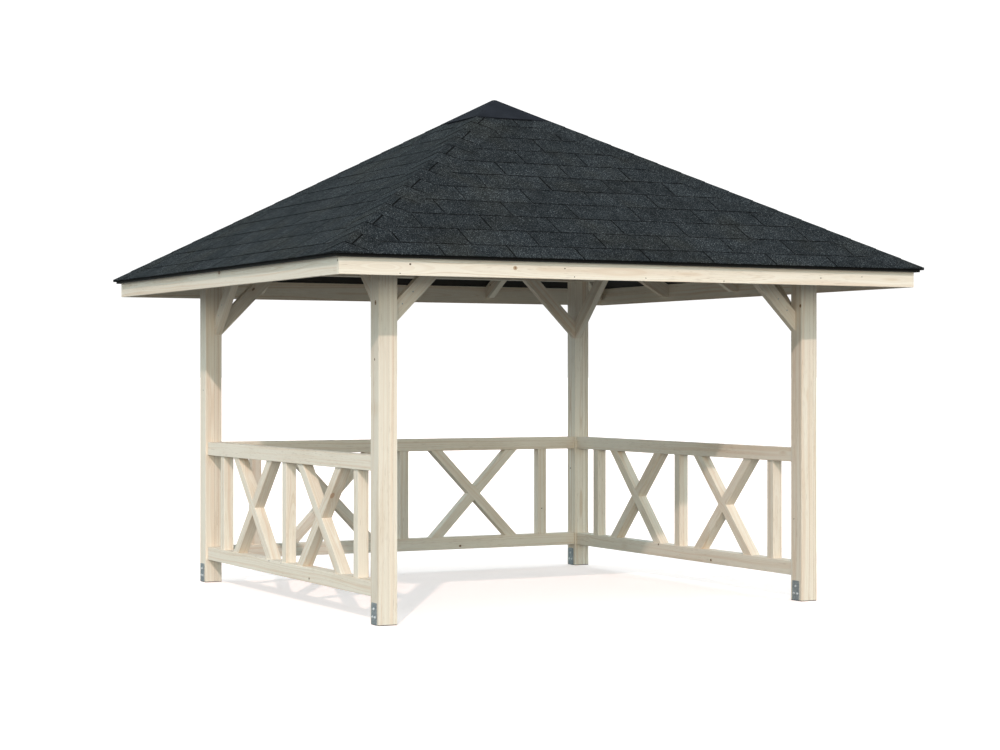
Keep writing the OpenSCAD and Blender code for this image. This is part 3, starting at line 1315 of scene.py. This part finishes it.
@dataclass
class Fascias(Part):
    """The boards round the eaves, their top edges bevelled under the roof boards."""

    arris: float = 2.0 * MM
    tan_from: float = 8.0 * MM
    front_knots: tuple[Triple, ...] = (
        (-1.502, 2.016, 5.5 * MM),
        (-1.563, 1.965, 3.0 * MM),
        (-0.856, 2.010, 12.0 * MM),
        (-0.539, 2.014, 3.8 * MM),
        (-0.477, 1.968, 3.0 * MM),
        (-0.005, 1.971, 3.0 * MM),
        (0.530, 1.965, 3.2 * MM),
        (1.225, 1.997, 3.5 * MM),
        (1.530, 2.011, 3.0 * MM),
    )
    end_mark: tuple[float, float] = (15.0 * MM, 2.028)
    end_mark_size: Triple = (7.0 * MM, 4.0 * MM, 0.4 * MM)

    def build(self) -> None:
        """Builds the four boards."""
        plan = self.plan
        for side in Side:
            board = Workpiece(f"{side.label}_eaves_board")
            reach = plan.fascia_out if side.runs_through else plan.fascia_in
            top = plan.under(plan.fascia_in) + SPARE
            spots = ((-reach, plan.fascia_foot), (reach, plan.fascia_foot), (reach, top), (-reach, top))
            outline = [side.turn @ Vector((x, -plan.fascia_out, z)) for x, z in spots]
            above = (side, Side.LEFT, Side.RIGHT) if side.runs_through else (side,)
            cuts = [RoofFace(plan, over, plan.deck_edge).surface for over in above]
            depth = side.turn @ (Y * (plan.fascia_out - plan.fascia_in))
            board.add_board(outline, depth, side.turn @ X, Cutting(arris=self.arris, cuts=cuts))
            if side is Side.FRONT:
                self._mark_front(board)
            finishes = (self.palette.timber, self.palette.knot, self.palette.tan_knot)
            board.deliver(finishes, Slot.TIMBER, f"{side.label}_fascia")

    def _mark_front(self, board: Workpiece) -> None:
        """Sets the front board's knots, the large ones tan, and the dark mark in its left end.

        Args:
            board: the front board.
        """
        out = self.plan.fascia_out
        for x, z, size in self.front_knots:
            board.add_knot(Vector((x, -out, z)), -Y, X, size, 2 if size > self.tan_from else 1, 1.15)
        back, height = self.end_mark
        board.add_disc(Vector((-out, back - out, height)), -X, Z, self.end_mark_size)


@dataclass
class RoofBoards(Part):
    """Dark-stained boards laid level up each roof face, with V joints on their underside."""

    cover_width: float = 96.0 * MM
    joint: float = 0.6 * MM
    groove: float = 3.5 * MM
    clear: float = 0.5 * MM

    def build(self) -> None:
        """Boards the four faces."""
        for side in Side:
            face = RoofFace(self.plan, side, self.plan.deck_edge)
            boards = Workpiece(f"{side.label}_roof_boards")
            cutting = Cutting(arris=self.groove, cuts=face.trim())
            depth = face.outward * (self.plan.board - self.clear)
            up = -SPARE
            while up < face.length:
                top = min(up + self.cover_width, face.length + SPARE)
                boards.add_board(face.strip(up, top - self.joint), depth, face.across, cutting)
                up += self.cover_width
            boards.deliver((self.palette.dark_boards,), Slot.ROOF_BOARDS, f"{side.label}_deck")


@dataclass
class Shingles(Part):
    """Felt shingles laid in level courses with half bond, over a near-black underlay that shows in the slots as
    painted shade.
    """

    exposure: float = 191.0 * MM
    first_exposure: float = 158.0 * MM
    tab: float = 437.0 * MM
    slot_width: float = 10.0 * MM
    slot_share: tuple[float, float] = (0.22, 0.50)
    lap: float = 26.0 * MM
    butt: float = 4.6 * MM
    head: float = 1.6 * MM
    arris: float = 0.6 * MM
    underlay: float = 4.6 * MM
    bed_spare: float = 50.0 * MM

    def build(self) -> None:
        """Covers the four faces."""
        for side in Side:
            face = RoofFace(self.plan, side, self.plan.cover_edge)
            courses = Workpiece(f"{side.label}_shingle_courses")
            outline = face.strip(-self.bed_spare, face.length + SPARE, self.plan.board, self.bed_spare)
            # the near-black underlay sheet: it shows in the slots as painted shade
            underlay_and_slot_shade = Cutting(arris=0.0, cuts=face.trim(), finish=1, tone=0.0)
            courses.add_board(outline, face.outward * self.underlay, face.across, underlay_and_slot_shade)
            up, number = 0.0, 0
            while up < face.length - self.plan.cap_edge:
                step = self.exposure if number else self.first_exposure
                self._course(courses, face, up, step, number)
                up, number = up + step, number + 1
            courses.deliver((self.palette.shingles, self.palette.underlay), Slot.SHINGLES, f"{side.label}_shingles")

    def _course(self, courses: Workpiece, face: RoofFace, up: float, step: float, number: int) -> None:
        """Lays one course of tabs.

        Args:
            courses: the piece that they join.
            face: the roof face.
            up: the height of the course's lower edge up the slope.
            step: how much of it shows.
            number: its number from the eaves.
        """
        half = self.plan.cover_edge - (up - SPARE) * math.cos(self.plan.pitch)
        shift = 0.0 if number % 2 == 0 else self.tab / 2.0
        left = shift - math.ceil((half + shift) / self.tab) * self.tab
        base = self.plan.board + self.underlay - 0.4 * MM
        # the tabs' butts and side edges take the near-black felt: partly the bitumen's own colour, partly painted
        # shade under the butts
        cutting = Cutting(arris=self.arris, cuts=face.trim(), top=face.outward, tone=0.14)
        chance = courses.chance
        while left < half:
            low = up + (chance.uniform(-1.5, 1.5) * MM if number else -SPARE)
            high = up + step + self.lap
            butt = self.butt + chance.uniform(-0.6, 0.9) * MM
            profile = ((low, base), (low, base + butt), (high, base + self.head), (high, base))
            near, far = (chance.uniform(*self.slot_share) * self.slot_width for _ in range(2))
            outline = [face.at(left + near, b, c) for b, c in profile]
            courses.add_board(outline, face.across * (self.tab - near - far), face.across, cutting)
            left += self.tab


@dataclass
class HipCaps(Part):
    """Folded felt caps lapped up each hip. Every other one was cut across a slot, which shows by the crease as painted
    shade: a near-black strip.
    """

    exposure: float = 167.0 * MM
    lap: float = 30.0 * MM
    flap: float = 165.0 * MM
    thick: float = 3.6 * MM
    tip: float = 0.7 * MM
    droop: float = 2.6 * MM
    rise: float = 2.6 * MM
    sink: float = 1.2 * MM
    slot_near: float = 41.0 * MM
    slot_far: float = 50.0 * MM
    slotted: int = 1
    run_out: float = 0.25
    proud: float = 1.0 * MM

    def build(self) -> None:
        """Caps the four hips."""
        for side in Side:
            self._hip(side)

    def _hip(self, side: Side) -> None:
        """Caps the hip on a side's left, seen from outside.

        Args:
            side: the side of the roof.
        """
        plan = self.plan
        turn = side.turn
        caps = Workpiece(f"{side.label}_hip_caps")
        rise = plan.outward
        left_rise = Vector((rise.y, 0.0, rise.z))
        hip = Vector((1.0, 1.0, plan.slope)).normalized()
        right = hip.cross(rise).normalized()
        right = right if right.x - right.y > 0.0 else -right
        left = Vector((right.y, right.x, right.z))
        up = (rise + left_rise).normalized()
        steep = rise.dot(up)
        lift = up * (self.rise / steep)
        crease = up * (self.thick / steep)
        top = Z * plan.apex + up * ((plan.board + plan.cover - self.sink) / steep)
        length = plan.cover_edge * math.sqrt(2.0 + plan.slope**2)
        bounds = [(turn @ (way * (plan.cover_edge + self.proud)), turn @ way) for way in (-Y, -X)]
        # the caps' faces that don't face up, and the strip laid in each slot, take the near-black felt: partly the
        # bitumen's own colour at the edges, painted shade under the lifted edges and in the slots
        felt = Cutting(arris=0.0, cuts=bounds, top=turn @ up, tone=0.09)
        underlay_and_slot_shade = Cutting(arris=0.0, cuts=bounds, finish=1)
        for number in range(math.ceil(length * (1.0 - plan.cap_edge / plan.cover_edge) / self.exposure)):
            start = top - hip * (length - number * self.exposure) + lift
            sweep = hip * (self.exposure + self.lap) - lift
            if number == 0:
                start, sweep = start - hip * self.run_out, sweep + hip * self.run_out
            slotted = number % 2 == self.slotted
            near = self.slot_near if slotted else self.flap
            low = [start + right * near - rise * (self.droop * near / self.flap), start]
            low.append(start + left * self.flap - left_rise * self.droop)
            end = self.thick if slotted else self.tip
            high = [low[2] + left_rise * self.tip, start + crease, low[0] + rise * end]
            strips = [(low + high, felt)]
            if slotted:
                strip = [start + right * self.slot_far - rise * (self.droop * self.slot_far / self.flap)]
                strip.append(start + right * self.flap - rise * self.droop)
                strip += [strip[1] + rise * self.tip, strip[0] + rise * self.thick]
                # a strip of near-black felt fills the slot: painted shade
                slot = [low[0], strip[0], strip[0] + rise * self.tip, low[0] + rise * self.tip]
                strips += [(strip, felt), (slot, underlay_and_slot_shade)]
            for outline, cutting in strips:
                caps.add_board([turn @ spot for spot in outline], turn @ sweep, turn @ hip, cutting)
        caps.deliver((self.palette.shingles, self.palette.underlay), Slot.SHINGLES)


@dataclass
class ApexCap(Part):
    """A smooth felt pyramid folded over the top, its folds softened and its edges dressed down."""

    thick: float = 5.5 * MM
    proud: float = 0.5 * MM
    fold: float = 16.0 * MM

    def build(self) -> None:
        """Builds the cap."""
        edge = self.plan.cap_edge
        height = edge * self.plan.slope
        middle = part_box("apex_cap")[1].z + self.proud - height / 2.0
        sheet = bmesh.new()
        bmesh.ops.create_cone(
            sheet, cap_ends=False, segments=4, radius1=edge * math.sqrt(2.0), radius2=0.0, depth=height
        )
        bmesh.ops.rotate(sheet, verts=sheet.verts, matrix=Matrix.Rotation(math.radians(45.0), 3, "Z"))
        bmesh.ops.remove_doubles(sheet, verts=sheet.verts, dist=0.01 * MM)
        bmesh.ops.translate(sheet, verts=sheet.verts, vec=Z * middle)
        bevel(sheet, [fold for fold in sheet.edges if not fold.is_boundary], self.fold, 3)
        bmesh.ops.recalc_face_normals(sheet, faces=sheet.faces)
        highest = max(sheet.faces, key=lambda face: face.calc_center_median().z)
        if highest.normal.z < 0.0:
            bmesh.ops.reverse_faces(sheet, faces=sheet.faces)
        bmesh.ops.solidify(sheet, geom=sheet.faces[:], thickness=self.thick)
        cap = Workpiece("folded_apex_cap")
        cap.absorb(sheet, ORIGIN, X, Y, Cutting(tone=0.0))
        cap.deliver((self.palette.smooth,), Slot.SMOOTH_FELT, "apex_cap")


# --------------------------------------------------------------------------- the studio


@dataclass
class Studio:
    """A pale floor, a warm key light, a low front fill, an even, faintly blue surround and the camera."""

    floor_size: float = 3000.0
    floor_colour: Colour = (0.95, 0.78, 0.74)
    floor_bounce: Colour = (0.21, 0.20, 0.19)
    floor_glow: float = 0.38
    floor_clouds: float = 0.4
    key_from: Triple = (-0.62, -1.0, 0.755)
    key_colour: Colour = (1.0, 0.825, 0.747)
    key_strength: float = 1.66
    key_angle: float = 1.2
    front_from: Triple = (-0.46, -0.89, 0.08)
    front_colour: Colour = (1.0, 0.92, 0.72)
    front_strength: float = 1.15
    front_angle: float = 24.0
    surround: Colour = (0.76, 0.933, 0.985)
    surround_strength: float = 1.33
    backdrop_strength: float = 1.1
    eye: Triple = (-6.436, -12.540, 1.408)
    heading: float = -27.32
    lens: float = 77.34
    shift: float = 0.00085
    sight: float = 4000.0

    def build(self) -> None:
        """Sets up the floor, the lights and the camera."""
        bpy.context.scene.view_settings.view_transform = "Standard"
        self._floor()
        self._hang("key_light", self.key_from, self.key_colour, self.key_strength, self.key_angle)
        self._hang("front_fill", self.front_from, self.front_colour, self.front_strength, self.front_angle)
        self._surround()
        self._camera()

    def _floor(self) -> None:
        """Lays the floor."""
        sheet = bmesh.new()
        bmesh.ops.create_grid(sheet, x_segments=2, y_segments=2, size=self.floor_size / 2.0)
        carrier = bpy.data.meshes.new("studio_floor")
        sheet.to_mesh(carrier)
        sheet.free()
        g = Graph("studio_floor")
        cloud = g.noise(g.place(), self.floor_clouds)
        seen = g.add("ShaderNodeLightPath").outputs["Is Camera Ray"]
        tint = g.grade(g.blend(seen, self.floor_bounce, self.floor_colour), g.line(cloud, 0.02, 0.99))
        g.feed(g.shader.inputs["Emission Color"], WHITE)
        g.feed(g.shader.inputs["Emission Strength"], g.times(seen, self.floor_glow))
        carrier.materials.append(g.finish(tint, 0.9, cloud, 0.1 * MM, 0.1))
        floor = put("studio_floor", carrier)

    def _surround(self) -> None:
        """Lights the surround, which the camera sees white."""
        world = bpy.data.worlds.new("surround")
        world.use_nodes = True
        tree = world.node_tree
        tree.nodes.clear()
        output = tree.nodes.new("ShaderNodeOutputWorld")
        mix = tree.nodes.new("ShaderNodeMixShader")
        seen = tree.nodes.new("ShaderNodeLightPath")
        skies = ((self.surround, self.surround_strength), (WHITE, self.backdrop_strength))
        for index, (colour, strength) in enumerate(skies):
            sky = tree.nodes.new("ShaderNodeBackground")
            sky.inputs["Color"].default_value = (*colour, 1.0)
            sky.inputs["Strength"].default_value = strength
            tree.links.new(sky.outputs[0], mix.inputs[index + 1])
        tree.links.new(seen.outputs["Is Camera Ray"], mix.inputs[0])
        tree.links.new(mix.outputs[0], output.inputs["Surface"])
        bpy.context.scene.world = world

    @staticmethod
    def _hang(name: str, source: Triple, colour: Colour, strength: float, angle: float) -> None:
        """Hangs one light.

        Args:
            name: its name.
            source: the way to it.
            colour: its colour.
            strength: its strength.
            angle: how wide it is, in degrees.
        """
        lamp = bpy.data.lights.new(name, "SUN")
        lamp.energy, lamp.angle, lamp.color = strength, math.radians(angle), colour
        light = put(name, lamp)
        light.rotation_mode = "QUATERNION"
        light.rotation_quaternion = (-Vector(source)).to_track_quat("-Z", "Y")

    def _camera(self) -> None:
        """Sets up the camera, level and a little above a seated eye."""
        data = bpy.data.cameras.new("camera")
        data.lens, data.shift_y, data.clip_end = self.lens, self.shift, self.sight
        camera = put("camera", data)
        camera.location = self.eye
        camera.rotation_euler = (math.radians(90.0), 0.0, math.radians(self.heading))
        bpy.context.scene.camera = camera


def main() -> None:
    """Builds the whole model around the frame."""
    plan = Plan.read()
    LOG.info("roof pitch %.2f degrees, apex %.4f m", math.degrees(plan.pitch), plan.apex)
    palette = Palette()
    Studio().build()
    for part in (Posts, PostShoes, WallPlates, Braces):
        part(palette, plan).build()
    for side in RAILED_SIDES:
        Railing(palette, plan, side).build()
    for part in (RoofFrame, Fascias, RoofBoards, Shingles, HipCaps, ApexCap):
        part(palette, plan).build()


if __name__ == "__main__":
    logging.basicConfig(level=logging.INFO, format="%(name)s %(message)s")
    main()
